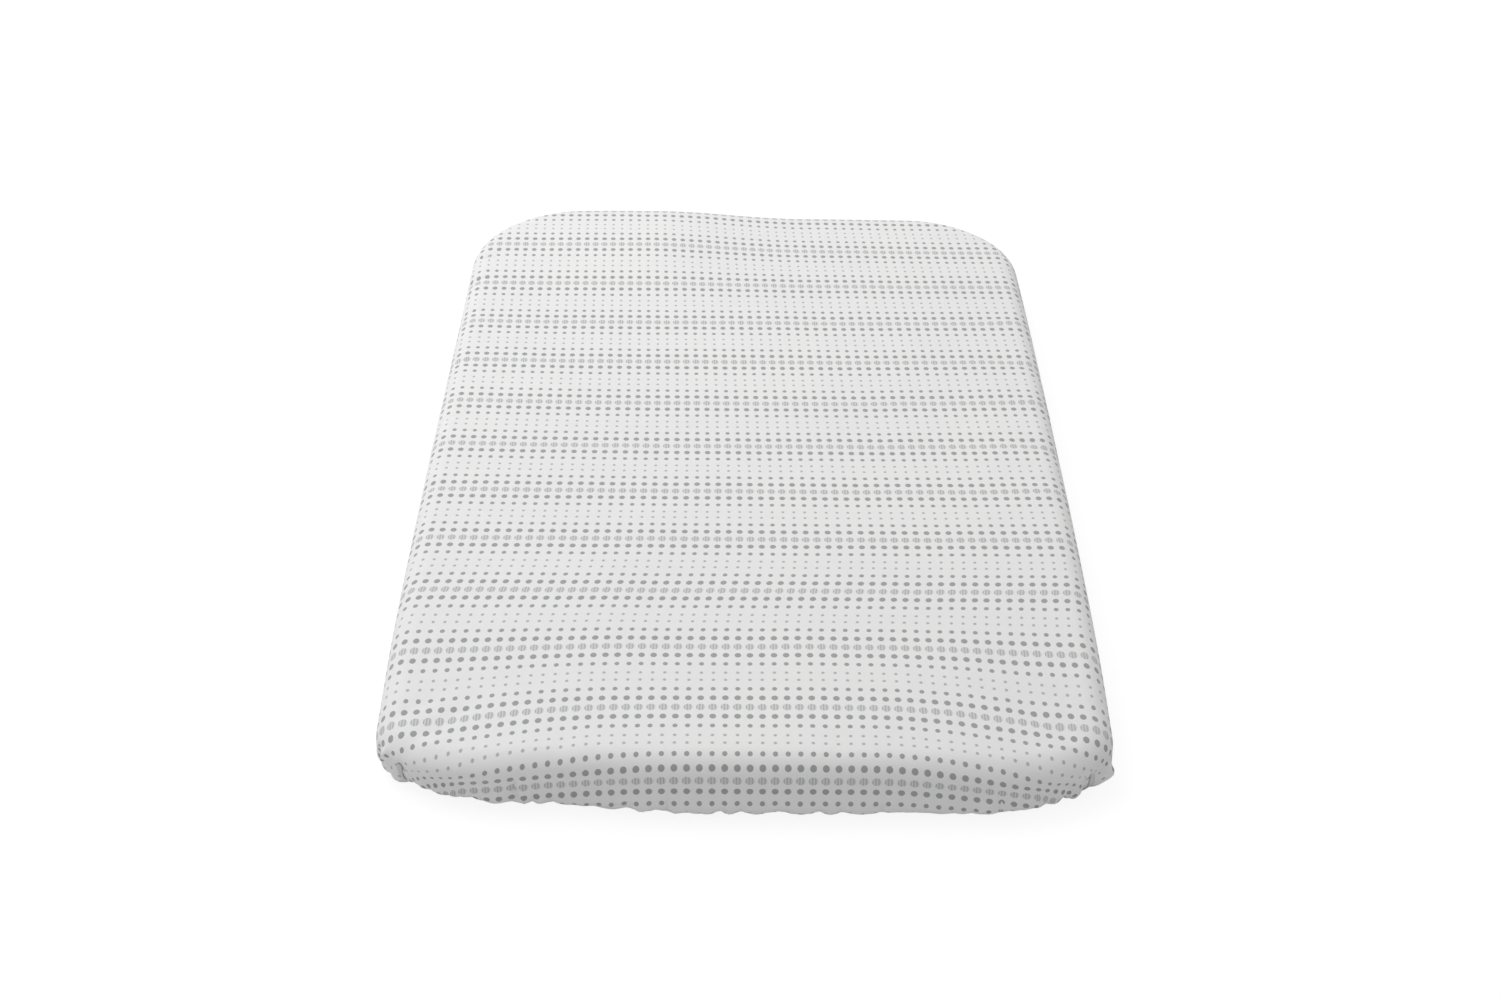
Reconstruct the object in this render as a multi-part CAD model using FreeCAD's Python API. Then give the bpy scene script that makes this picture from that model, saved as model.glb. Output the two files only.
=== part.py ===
"""Memory foam bassinet mattress in its fitted sheet.

Two foam layers are glued together and closed in a zipped cover. A fitted sheet is pulled over
them, and its elastic hem gathers on the underside, where the mattress rests.
Millimetres. X is the width, +Y points to the head end, +Z is up, and z = 0 is the surface
that the mattress lies on.
"""

import FreeCAD, Part  # noqa: E401  FreeCAD has to come first

import math
import os

from FreeCAD import Vector

# Foam core
CORE_WIDTH = 494.2
CORE_LENGTH = 794.2
CORE_CORNER_RADIUS = 97.0
CORE_TOP_EDGE_RADIUS = 16.0
CORE_BOTTOM_EDGE_RADIUS = 8.0
MEMORY_FOAM_THICKNESS = 20.0
BASE_FOAM_THICKNESS = 20.0
GLUE_THICKNESS = 0.2

# Zipped cover
COVER_THICKNESS = 1.2
COVER_BOTTOM_THICKNESS = 0.6
COVER_CLEARANCE = 0.3
BINDING_WIDTH = 9.0
BINDING_THICKNESS = 0.4

# Blank care labels
LABEL_WIDTH = 36.0
LABEL_LENGTH = 48.0
LABEL_THICKNESS = 0.4
COVER_LABEL_X = -92.0
SHEET_LABEL_X = 78.0
SHEET_LABEL_DROP = 0.1

# Fitted sheet
SHEET_THICKNESS = 0.5
SHEET_CLEARANCE = 0.9
UNDERWRAP = 60.0
CASING_WIDTH = 14.0
CASING_HEIGHT = 4.5
CASING_EDGE_RADIUS = 1.2
ELASTIC_WIDTH = 8.0
ELASTIC_THICKNESS = 1.0
ELASTIC_CLEARANCE = 0.4
CORNER_SEAM_WIDTH = 7.0
CORNER_SEAM_THICKNESS = 0.4
CORNER_SEAM_RISE = 26.0
CORNER_SEAM_GAP = 0.05

# Zip
ZIP_FROM_FOOT_END = 150.0
CHAIN_END_TO_HEM = 20.0
CHAIN_WIDTH = 6.0
CHAIN_THICKNESS = 2.0
TOOTH_PITCH = 2.4
TOOTH_WIDTH = 0.9
TOOTH_REACH = 1.2
TOOTH_ROOT = 1.5
TAPE_WIDTH = 13.0
TAPE_GAP = 2.0
TAPE_THICKNESS = 0.6
TAPE_TAIL = 18.0
WINDOW_WIDTH = 12.0
STOP_LENGTH = 2.4
STOP_CLEARANCE = 0.4

# Zip slider
SLIDER_LENGTH = 11.0
SLIDER_NOSE_WIDTH = 9.2
SLIDER_TAIL_WIDTH = 8.4
SLIDER_CORNER_RADIUS = 1.2
PLATE_THICKNESS = 0.7
SLIDER_CLEARANCE = 0.15
CHANNEL_SIDE_CLEARANCE = 0.2
DIVIDER_WIDTH = 1.4
DIVIDER_LENGTH = 3.0
DIVIDER_FROM_NOSE = 0.4
DIVIDER_CORNER_RADIUS = 0.6
RELIEF_CLEARANCE = 0.25
RELIEF_SIDE_CLEARANCE = 0.8

# Bridge and pull tab
PIVOT_RADIUS = 0.5
PIVOT_CLEARANCE = 0.15
PULL_PLATE_GAP = 0.3
BRIDGE_LENGTH = 6.8
BRIDGE_WIDTH = 1.6
BRIDGE_THICKNESS = 0.7
BRIDGE_POST = 1.0
PULL_LENGTH = 20.0
PULL_WIDTH = 4.8
PULL_SLOT_CLEARANCE = 0.35
PULL_HOLE_RADIUS = 1.1
PULL_HOLE_FROM_TIP = 2.8
PULL_CORNER_RADIUS = 1.6

# Offsets from the core's faces to each layer around it
COVER_INSIDE = COVER_CLEARANCE
COVER_OUTSIDE = COVER_INSIDE + COVER_THICKNESS
COVER_BOTTOM_INSIDE = COVER_OUTSIDE - COVER_BOTTOM_THICKNESS
SHEET_INSIDE = COVER_OUTSIDE + SHEET_CLEARANCE
SHEET_OUTSIDE = SHEET_INSIDE + SHEET_THICKNESS

# Heights
CORE_BOTTOM = CASING_HEIGHT + SHEET_INSIDE
BASE_TOP = CORE_BOTTOM + BASE_FOAM_THICKNESS
MEMORY_BOTTOM = BASE_TOP + GLUE_THICKNESS
CORE_TOP = MEMORY_BOTTOM + MEMORY_FOAM_THICKNESS
BOTTOM_SEAM = CORE_BOTTOM + CORE_BOTTOM_EDGE_RADIUS
TOP_SEAM = CORE_TOP - CORE_TOP_EDGE_RADIUS
PANEL_TOP = CORE_BOTTOM - COVER_BOTTOM_INSIDE
PANEL_BOTTOM = CORE_BOTTOM - COVER_OUTSIDE
TAPE_BOTTOM = PANEL_TOP
TAPE_TOP = TAPE_BOTTOM + TAPE_THICKNESS
CHAIN_BOTTOM = TAPE_BOTTOM - CHAIN_THICKNESS

# Plan of the zip and of its slider, which rests at the closed end
ZIP_Y = ZIP_FROM_FOOT_END - CORE_LENGTH / 2
HEM_OPENING_WIDTH = CORE_WIDTH + 2 * (SHEET_OUTSIDE - UNDERWRAP - CASING_WIDTH)
CHAIN_END = HEM_OPENING_WIDTH / 2 - CHAIN_END_TO_HEM
SLIDER_NOSE = CHAIN_END + STOP_CLEARANCE + DIVIDER_LENGTH + DIVIDER_FROM_NOSE
SLIDER_X = SLIDER_NOSE - SLIDER_LENGTH / 2
WINDOW_END = SLIDER_NOSE + STOP_CLEARANCE + STOP_LENGTH + STOP_CLEARANCE
LOWER_PLATE_TOP = CHAIN_BOTTOM - SLIDER_CLEARANCE
LOWER_PLATE_BOTTOM = LOWER_PLATE_TOP - PLATE_THICKNESS
UPPER_PLATE_BOTTOM = TAPE_TOP + SLIDER_CLEARANCE
UPPER_PLATE_TOP = UPPER_PLATE_BOTTOM + PLATE_THICKNESS
PIVOT_Z = LOWER_PLATE_BOTTOM - PULL_PLATE_GAP - PIVOT_RADIUS
BRIDGE_TOP = PIVOT_Z - PIVOT_RADIUS - PIVOT_CLEARANCE
BRIDGE_BOTTOM = BRIDGE_TOP - BRIDGE_THICKNESS

PARTS_FOLDER = "parts"
LARGE = 2 * (CORE_LENGTH + CORE_WIDTH)


def box(x0, x1, y0, y1, z0, z1):
    """Block between two corners."""
    return Part.makeBox(x1 - x0, y1 - y0, z1 - z0, Vector(x0, y0, z0))


def rounded_rectangle(width, length, radius, z):
    """Face of a rectangle with round corners, centred on the Z axis."""
    x, y = width / 2 - radius, length / 2 - radius
    corners = []
    for n, (cx, cy) in enumerate([(x, y), (-x, y), (-x, -y), (x, -y)]):
        points = []
        for quarter in (n, n + 0.5, n + 1):
            angle = quarter * math.pi / 2
            points.append(Vector(cx + radius * math.cos(angle), cy + radius * math.sin(angle), z))
        corners.append(points)
    edges = []
    for n, points in enumerate(corners):
        edges.append(Part.Arc(*points).toShape())
        edges.append(Part.makeLine(points[-1], corners[(n + 1) % len(corners)][0]))
    return Part.Face(Part.Wire(edges))


def flat_edges(solid, z):
    """Edges of a solid that lie in the plane at height z."""
    tolerance = 1e-6
    return [
        e for e in solid.Edges
        if abs(e.BoundBox.ZMin - z) < tolerance and abs(e.BoundBox.ZMax - z) < tolerance
    ]


def pad(offset):
    """The foam core's shape, grown by an offset on every face."""
    bottom, top = CORE_BOTTOM - offset, CORE_TOP + offset
    plan = rounded_rectangle(
        CORE_WIDTH + 2 * offset, CORE_LENGTH + 2 * offset, CORE_CORNER_RADIUS + offset, bottom
    )
    block = plan.extrude(Vector(0, 0, top - bottom))
    block = block.makeFillet(CORE_TOP_EDGE_RADIUS + offset, flat_edges(block, top))
    return block.makeFillet(CORE_BOTTOM_EDGE_RADIUS + offset, flat_edges(block, bottom))


def shell(inside, outside):
    """Closed layer of fabric around the core, between two offsets."""
    return pad(outside).cut(pad(inside))


def slab(z0, z1):
    """Everything between two heights."""
    return box(-LARGE, LARGE, -LARGE, LARGE, z0, z1)


def column(inset, z0, z1):
    """Upright block whose plan is the sheet's outline drawn in by an inset."""
    grow = SHEET_OUTSIDE - inset
    plan = rounded_rectangle(
        CORE_WIDTH + 2 * grow, CORE_LENGTH + 2 * grow, CORE_CORNER_RADIUS + grow, z0
    )
    return plan.extrude(Vector(0, 0, z1 - z0))


# Foam


def support_foam_base():
    """Firm lower layer, with the shallow line that the zip slider presses into it."""
    layer = pad(0).common(slab(CORE_BOTTOM, BASE_TOP))
    half = SLIDER_NOSE_WIDTH / 2 + RELIEF_SIDE_CLEARANCE
    return layer.cut(box(
        -WINDOW_END, WINDOW_END, ZIP_Y - half, ZIP_Y + half, 0, UPPER_PLATE_TOP + RELIEF_CLEARANCE
    ))


def glue_layer():
    """Film of adhesive between the two foams."""
    return pad(0).common(slab(BASE_TOP, MEMORY_BOTTOM))


def memory_foam_layer():
    """Soft upper layer with the round top edge."""
    return pad(0).common(slab(MEMORY_BOTTOM, CORE_TOP))


# Cover


def cover_top_panel():
    """Top of the cover, down to the seam at the foot of the round edge."""
    return shell(COVER_INSIDE, COVER_OUTSIDE).common(slab(TOP_SEAM, LARGE))


def cover_border():
    """Upright strip between the cover's two seams."""
    return shell(COVER_INSIDE, COVER_OUTSIDE).common(slab(BOTTOM_SEAM, TOP_SEAM))


def cover_bottom_panel(side):
    """Half of the cover's bottom on one side of the zip: -1 is the foot end, +1 the head end."""
    panel = shell(COVER_BOTTOM_INSIDE, COVER_OUTSIDE).common(slab(-LARGE, BOTTOM_SEAM))
    near, far = sorted((ZIP_Y, ZIP_Y + side * LARGE))
    panel = panel.common(box(-LARGE, LARGE, near, far, -LARGE, LARGE))
    half = WINDOW_WIDTH / 2
    return panel.cut(
        box(-WINDOW_END, WINDOW_END, ZIP_Y - half, ZIP_Y + half, 0, CORE_BOTTOM)
    )


def cover_binding(seam):
    """Tape that covers one of the seams on the outside of the cover."""
    band = shell(COVER_OUTSIDE, COVER_OUTSIDE + BINDING_THICKNESS)
    return band.common(slab(seam - BINDING_WIDTH / 2, seam + BINDING_WIDTH / 2))


def cover_care_label():
    """Blank label sewn beside the zip, flat on the foot end's bottom panel."""
    edge = ZIP_Y - WINDOW_WIDTH / 2
    half = LABEL_WIDTH / 2
    return box(
        COVER_LABEL_X - half, COVER_LABEL_X + half,
        edge - LABEL_LENGTH, edge,
        PANEL_BOTTOM - LABEL_THICKNESS, PANEL_BOTTOM,
    )


# Fitted sheet


def fitted_sheet():
    """One cloth over the top and sides that turns under as far as the hem."""
    return shell(SHEET_INSIDE, SHEET_OUTSIDE).cut(column(UNDERWRAP, 0, CORE_BOTTOM))


def sheet_hem_casing():
    """Tube of folded cloth around the elastic. The mattress rests on its flat underside."""
    inner = UNDERWRAP + CASING_WIDTH
    tube = column(UNDERWRAP, 0, CASING_HEIGHT).cut(column(inner, 0, CASING_HEIGHT))
    tube = tube.makeFillet(CASING_EDGE_RADIUS, flat_edges(tube, 0))
    return tube.cut(elastic_ring(ELASTIC_CLEARANCE))


def elastic_ring(grow):
    """Flat band in the middle of the casing, grown by a clearance."""
    margin = (CASING_WIDTH - ELASTIC_WIDTH) / 2 - grow
    half = ELASTIC_THICKNESS / 2 + grow
    z0, z1 = CASING_HEIGHT / 2 - half, CASING_HEIGHT / 2 + half
    outer = column(UNDERWRAP + margin, z0, z1)
    return outer.cut(column(UNDERWRAP + CASING_WIDTH - margin, z0, z1))


def sheet_corner_seam(x_side, y_side):
    """Seam allowance of the dart that shapes a corner, lying inside the sheet."""
    outside = SHEET_INSIDE - CORNER_SEAM_GAP
    layer = shell(outside - CORNER_SEAM_THICKNESS, outside)
    layer = layer.common(slab(-LARGE, CORE_BOTTOM + CORNER_SEAM_RISE))
    layer = layer.cut(column(UNDERWRAP, 0, CORE_BOTTOM))
    half = CORNER_SEAM_WIDTH / 2
    strip = box(0, LARGE, -half, half, -LARGE, LARGE)
    angle = math.degrees(math.atan2(y_side, x_side))
    strip.rotate(Vector(0, 0, 0), Vector(0, 0, 1), angle)
    strip.translate(Vector(
        x_side * (CORE_WIDTH / 2 - CORE_CORNER_RADIUS),
        y_side * (CORE_LENGTH / 2 - CORE_CORNER_RADIUS),
        0,
    ))
    return layer.common(strip)


def sheet_care_label():
    """Blank label sewn into the hem at the foot end."""
    edge = UNDERWRAP + CASING_WIDTH - SHEET_OUTSIDE - CORE_LENGTH / 2
    half = LABEL_WIDTH / 2
    top = CASING_HEIGHT - SHEET_LABEL_DROP
    return box(
        SHEET_LABEL_X - half, SHEET_LABEL_X + half,
        edge, edge + LABEL_LENGTH,
        top - LABEL_THICKNESS, top,
    )


# Zip


def zip_tape(side):
    """Woven tape that joins one side of the chain to the bottom panel."""
    near, far = sorted((side * TAPE_GAP / 2, side * (TAPE_GAP / 2 + TAPE_WIDTH)))
    end = CHAIN_END + TAPE_TAIL
    return box(-end, end, ZIP_Y + near, ZIP_Y + far, TAPE_BOTTOM, TAPE_TOP)


def zip_chain(side):
    """One row of coils as a comb. Its teeth reach past the middle, between the other row's."""
    shift = 0 if side > 0 else TOOTH_PITCH / 2
    gap = TOOTH_PITCH / 2 - TOOTH_WIDTH
    back, root, tip = CHAIN_WIDTH / 2, TOOTH_ROOT, -TOOTH_REACH
    points = [(-CHAIN_END, back), (-CHAIN_END, root)]
    for n in range(int((2 * CHAIN_END - shift) / TOOTH_PITCH)):
        x0 = -CHAIN_END + shift + gap + n * TOOTH_PITCH
        x1 = x0 + TOOTH_WIDTH
        points += [(x0, root), (x0, tip), (x1, tip), (x1, root)]
    points += [(CHAIN_END, root), (CHAIN_END, back)]
    corners = [Vector(x, ZIP_Y + side * y, CHAIN_BOTTOM) for x, y in points]
    outline = Part.makePolygon(corners + corners[:1])
    return Part.Face(outline).extrude(Vector(0, 0, CHAIN_THICKNESS))


def zip_top_stop(side):
    """Crimped stop on one tape, which the slider meets when the zip is closed."""
    x0 = SLIDER_NOSE + STOP_CLEARANCE
    near, far = sorted((side * TAPE_GAP / 2, side * CHAIN_WIDTH / 2))
    return box(x0, x0 + STOP_LENGTH, ZIP_Y + near, ZIP_Y + far, CHAIN_BOTTOM, TAPE_BOTTOM)


def zip_bottom_stop():
    """Clip across both tapes that ends the slider's travel."""
    half = CHAIN_WIDTH / 2
    x1 = -CHAIN_END - STOP_CLEARANCE
    return box(x1 - STOP_LENGTH, x1, ZIP_Y - half, ZIP_Y + half, CHAIN_BOTTOM, TAPE_BOTTOM)


def slider_plan(z0, z1):
    """Slider's outline, a little wider at its nose, as an upright block."""
    nose, tail = SLIDER_NOSE_WIDTH / 2, SLIDER_TAIL_WIDTH / 2
    x0, x1 = SLIDER_NOSE - SLIDER_LENGTH, SLIDER_NOSE
    points = [(x0, -tail), (x1, -nose), (x1, nose), (x0, tail)]
    corners = [Vector(x, ZIP_Y + y, z0) for x, y in points]
    block = Part.Face(Part.makePolygon(corners + corners[:1])).extrude(Vector(0, 0, z1 - z0))
    upright = [e for e in block.Edges if e.BoundBox.ZLength > (z1 - z0) / 2]
    return block.makeFillet(SLIDER_CORNER_RADIUS, upright)


def zip_slider_body():
    """Two plates joined by a divider at the nose, with side flanges and the pull's bridge."""
    channel = CHAIN_WIDTH / 2 + CHANNEL_SIDE_CLEARANCE
    lower = slider_plan(LOWER_PLATE_BOTTOM, TAPE_BOTTOM - SLIDER_CLEARANCE)
    lower = lower.cut(box(
        -LARGE, LARGE, ZIP_Y - channel, ZIP_Y + channel, LOWER_PLATE_TOP, TAPE_BOTTOM
    ))
    upper = slider_plan(UPPER_PLATE_BOTTOM, UPPER_PLATE_TOP)
    x1 = SLIDER_NOSE - DIVIDER_FROM_NOSE
    half = DIVIDER_WIDTH / 2
    divider = box(
        x1 - DIVIDER_LENGTH, x1, ZIP_Y - half, ZIP_Y + half, LOWER_PLATE_TOP, UPPER_PLATE_BOTTOM
    )
    upright = [e for e in divider.Edges if e.BoundBox.ZLength > PLATE_THICKNESS]
    divider = divider.makeFillet(DIVIDER_CORNER_RADIUS, upright)
    arch = box(
        SLIDER_X - BRIDGE_LENGTH / 2, SLIDER_X + BRIDGE_LENGTH / 2,
        ZIP_Y - BRIDGE_WIDTH / 2, ZIP_Y + BRIDGE_WIDTH / 2,
        BRIDGE_BOTTOM, LOWER_PLATE_BOTTOM,
    )
    ends = [e for e in flat_edges(arch, BRIDGE_BOTTOM) if e.BoundBox.YLength > BRIDGE_WIDTH / 2]
    arch = arch.makeFillet(BRIDGE_THICKNESS, ends)
    inner = BRIDGE_LENGTH / 2 - BRIDGE_POST
    arch = arch.cut(box(
        SLIDER_X - inner, SLIDER_X + inner,
        ZIP_Y - BRIDGE_WIDTH, ZIP_Y + BRIDGE_WIDTH,
        BRIDGE_TOP, LOWER_PLATE_BOTTOM,
    ))
    return lower.multiFuse([divider, upper, arch]).removeSplitter()


def zip_pull_tab():
    """Tab that hangs on the bridge by its round cross bar, lying back along the chain."""
    half = PULL_WIDTH / 2
    z0, z1 = PIVOT_Z - PIVOT_RADIUS, PIVOT_Z + PIVOT_RADIUS
    tab = box(SLIDER_X - PULL_LENGTH, SLIDER_X, ZIP_Y - half, ZIP_Y + half, z0, z1)
    tip = [
        e for e in tab.Edges
        if e.BoundBox.ZLength > PIVOT_RADIUS and e.BoundBox.XMax < SLIDER_X - PULL_LENGTH / 2
    ]
    tab = tab.makeFillet(PULL_CORNER_RADIUS, tip)
    slot_half = BRIDGE_WIDTH / 2 + PULL_SLOT_CLEARANCE
    reach = math.hypot(BRIDGE_LENGTH / 2, PIVOT_Z - BRIDGE_BOTTOM) + PULL_SLOT_CLEARANCE
    tab = tab.cut(box(
        SLIDER_X - reach, SLIDER_X, ZIP_Y - slot_half, ZIP_Y + slot_half, z0, z1
    ))
    bar = Part.makeCylinder(
        PIVOT_RADIUS, PULL_WIDTH, Vector(SLIDER_X, ZIP_Y - half, PIVOT_Z), Vector(0, 1, 0)
    )
    hole = Part.makeCylinder(
        PULL_HOLE_RADIUS, z1 - z0,
        Vector(SLIDER_X - PULL_LENGTH + PULL_HOLE_FROM_TIP, ZIP_Y, z0),
    )
    return tab.fuse(bar).cut(hole).removeSplitter()


def nodes():
    """Each sub-part's name and shape."""
    yield "support_foam_base", support_foam_base()
    yield "foam_glue_layer", glue_layer()
    yield "memory_foam_layer", memory_foam_layer()
    yield "cover_top_panel", cover_top_panel()
    yield "cover_border", cover_border()
    yield "cover_bottom_panel_foot", cover_bottom_panel(-1)
    yield "cover_bottom_panel_head", cover_bottom_panel(1)
    yield "cover_top_binding", cover_binding(TOP_SEAM)
    yield "cover_bottom_binding", cover_binding(BOTTOM_SEAM)
    yield "cover_care_label", cover_care_label()
    yield "fitted_sheet", fitted_sheet()
    yield "sheet_hem_casing", sheet_hem_casing()
    yield "sheet_hem_elastic", elastic_ring(0)
    for end, y_side in (("foot", -1), ("head", 1)):
        for hand, x_side in (("left", -1), ("right", 1)):
            yield f"sheet_corner_seam_{end}_{hand}", sheet_corner_seam(x_side, y_side)
    yield "sheet_care_label", sheet_care_label()
    for end, side in (("foot", -1), ("head", 1)):
        yield f"zip_tape_{end}", zip_tape(side)
        yield f"zip_chain_{end}", zip_chain(side)
        yield f"zip_top_stop_{end}", zip_top_stop(side)
    yield "zip_bottom_stop", zip_bottom_stop()
    yield "zip_slider_body", zip_slider_body()
    yield "zip_pull_tab", zip_pull_tab()


os.makedirs(PARTS_FOLDER, exist_ok=True)
travel = SLIDER_NOSE - SLIDER_LENGTH + CHAIN_END
print(f"zip slider travel {travel:.1f}, pivot at x {SLIDER_X:.2f} y {ZIP_Y:.2f} z {PIVOT_Z:.2f}")
for name, shape in nodes():
    if not shape.isValid() or not shape.Solids:
        raise ValueError(f"{name} isn't a valid solid")
    shape.exportStep(os.path.join(PARTS_FOLDER, name + ".step"))
    print(f"{name}: {len(shape.Solids)} solid, {shape.Volume:.1f} mm3")
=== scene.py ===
"""Looks of a memory foam mattress in its fitted sheet, put together from the foam outwards."""

import math

import bpy
import numpy as np
from mathutils import Matrix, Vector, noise


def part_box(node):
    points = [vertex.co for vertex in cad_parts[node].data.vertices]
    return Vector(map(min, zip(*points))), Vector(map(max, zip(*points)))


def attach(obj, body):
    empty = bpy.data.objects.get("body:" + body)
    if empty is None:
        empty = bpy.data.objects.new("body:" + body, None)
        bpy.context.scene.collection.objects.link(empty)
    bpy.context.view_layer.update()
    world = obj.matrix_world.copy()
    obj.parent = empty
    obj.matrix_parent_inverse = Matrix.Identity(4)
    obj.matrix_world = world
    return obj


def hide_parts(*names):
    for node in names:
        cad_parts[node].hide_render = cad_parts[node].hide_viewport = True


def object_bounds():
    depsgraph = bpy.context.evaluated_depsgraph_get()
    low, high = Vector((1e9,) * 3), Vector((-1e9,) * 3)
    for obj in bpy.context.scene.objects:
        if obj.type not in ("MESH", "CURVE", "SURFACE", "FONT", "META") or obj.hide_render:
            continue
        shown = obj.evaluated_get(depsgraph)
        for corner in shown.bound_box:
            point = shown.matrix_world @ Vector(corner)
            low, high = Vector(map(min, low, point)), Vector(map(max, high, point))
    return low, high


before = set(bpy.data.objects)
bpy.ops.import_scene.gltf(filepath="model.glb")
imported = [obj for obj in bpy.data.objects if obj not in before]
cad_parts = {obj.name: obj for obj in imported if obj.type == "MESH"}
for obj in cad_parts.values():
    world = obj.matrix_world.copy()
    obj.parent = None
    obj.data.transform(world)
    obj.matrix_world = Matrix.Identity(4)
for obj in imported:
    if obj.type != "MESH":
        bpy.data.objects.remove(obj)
solid_low, solid_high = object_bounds()


# ---- Foam core ----
# A firm support foam and a slow memory foam, cut to one rounded outline and glued together.
# The cut block is soft: its top dips a little along the middle, its foot corners are pulled
# down by the sheet, and the head end's left corner stands proud.

ROUND_SIDES = 900
TOP_EDGE = 0.0172
BOTTOM_EDGE = 0.0125
FOOT_CORNER_EXTRA = 0.004
SKIRT_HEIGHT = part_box("fitted_sheet")[0].z
HALF_WIDTH, HALF_LENGTH, HEIGHT = solid_high.x, solid_high.y, solid_high.z
CORNER_RADII = {(1, 1): 0.100, (-1, 1): 0.102, (-1, -1): 0.060, (1, -1): 0.056}
HEM_RADII = dict.fromkeys(CORNER_RADII, 0.0999)


def smooth(value, start, end):
    """0 before start, 1 after end, and an even curve between."""
    t = np.clip((value - start) / (end - start), 0, 1)
    return t * t * (3 - 2 * t)


def trace(radii):
    """A rounded rectangle's corner points, each with its outward direction."""
    points, outward = [], []
    for quarter, (side, end) in enumerate([(1, 1), (-1, 1), (-1, -1), (1, -1)]):
        radius = radii[side, end]
        turn = np.radians(90 * quarter + np.linspace(0, 90, 31))
        direction = np.stack([np.cos(turn), np.sin(turn)], 1)
        centre = np.array([side * (HALF_WIDTH - radius), end * (HALF_LENGTH - radius)])
        points.append(centre + radius * direction)
        outward.append(direction)
    return np.concatenate(points + [points[0][:1]]), np.concatenate(outward + [outward[0][:1]])


def outline(count, radii=CORNER_RADII):
    """Points round the mattress's plan, their outward directions and distances along it."""
    points, outward = trace(CORNER_RADII)
    along = np.concatenate([[0], np.cumsum(np.linalg.norm(np.diff(points, axis=0), axis=1))])
    at = np.linspace(0, along[-1], count, endpoint=False)
    wanted = trace(radii)[0]
    spread = np.stack([np.interp(at, along, wanted[:, i]) for i in (0, 1)], 1)
    facing = np.stack([np.interp(at, along, outward[:, i]) for i in (0, 1)], 1)
    return spread, facing / np.linalg.norm(facing, axis=1)[:, None], at


def foot_corner_share(plan):
    """1 at the two corners of the foot end, fading to 0 along the sides."""
    share = np.zeros(len(plan))
    for side in (-1, 1):
        tip = np.array([side * (HALF_WIDTH - 0.026), -(HALF_LENGTH - 0.026)])
        share += np.exp(-(np.linalg.norm(plan - tip, axis=1) / 0.062) ** 2)
    return share


def edge_radii(plan, depth):
    """Radius of the top edge and of the bottom edge at each point of the outline."""
    bottom = BOTTOM_EDGE - depth
    room = HEIGHT - SKIRT_HEIGHT - 2 * depth - bottom - 0.001
    top = TOP_EDGE - depth + FOOT_CORNER_EXTRA * foot_corner_share(plan)
    return np.minimum(top, room), np.full(len(plan), bottom)


def foot_setback(x, y, z):
    """How far the foot end's face is pushed in, most of it low down and at the corners."""
    low = 1 - 0.45 * smooth(z, 0.012, 0.046)
    left = 0.009 * smooth(-x, 0.04, 0.13) + 0.008 * smooth(-x, 0.165, 0.205)
    right = 0.011 * smooth(x, 0.165, 0.215)
    face = 0.0034 * smooth(z, 0.006, 0.030)
    return smooth(-y, 0.335, 0.395) * (face + (left + right) * low)


def settled(points):
    """Where each point of the cut block comes to rest."""
    x, y, z = points[..., 0], points[..., 1], points[..., 2]
    lift = smooth(z, 0.010, 0.046)
    waist = 1 - 0.008 * ((y - 0.02) / 0.30) ** 2
    dip = 0.0030 * np.exp(-((y - 0.03) / 0.16) ** 2) * np.exp(-(x / 0.22) ** 4)
    proud = 0.0078 * smooth(y, 0.20, 0.36) * smooth(0.05 - x, 0.0, 0.14)
    crown = 0.0012 * np.exp(-((x + 0.02) / 0.13) ** 2) * smooth(y, 0.18, 0.34)
    droop = np.zeros_like(x)
    for side, drop in ((-1, 0.0105), (1, 0.0100)):
        far = np.hypot(x - side * 0.235, (y + 0.385) * 0.85)
        droop += drop * np.exp(-(far / 0.085) ** 2)
    out = np.empty_like(points)
    out[..., 0] = x * waist
    out[..., 1] = y + foot_setback(x, y, z)
    out[..., 2] = z + lift * (proud + crown - dip - droop)
    return out


def level_ring(count, depth, height):
    """The block's outline at one height, that far inside the sheet's face."""
    plan, facing, _ = outline(count)
    top, bottom = edge_radii(plan, depth)
    above = np.clip(height - (HEIGHT - depth - top), 0, top)
    below = np.clip(SKIRT_HEIGHT + depth + bottom - height, 0, bottom)
    inset = depth + top - np.sqrt(top**2 - above**2) + bottom - np.sqrt(bottom**2 - below**2)
    return np.column_stack([plan - facing * inset[:, None], np.full(count, height)])


def toward_spine(ring, steps):
    """Rings that close a ring's inside, shrinking to a line along the middle."""
    half = HALF_LENGTH - HALF_WIDTH + 0.03
    station = np.round(ring[:, 1] / HALF_LENGTH * 36) / 36
    spine = np.column_stack([np.zeros(len(ring)), station * half, ring[:, 2]])
    return [ring + (spine - ring) * share for share in np.linspace(0, 1, steps + 1)[1:]]


def mesh_object(name, points, faces, smooth_shade=True):
    """A new object from points in the mattress's own axes."""
    mesh = bpy.data.meshes.new(name)
    mesh.from_pydata([tuple(p) for p in points], [], faces)
    mesh.validate()
    made = bpy.data.objects.new(name, mesh)
    bpy.context.scene.collection.objects.link(made)
    mesh.polygons.foreach_set("use_smooth", [smooth_shade] * len(mesh.polygons))
    return made


def ring_faces(rings, count, first=0):
    """Quads between each ring and the next."""
    faces = []
    for r in range(rings - 1):
        a, b = first + r * count, first + (r + 1) * count
        faces += [
            (a + k, b + k, b + (k + 1) % count, a + (k + 1) % count) for k in range(count)
        ]
    return faces


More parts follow.
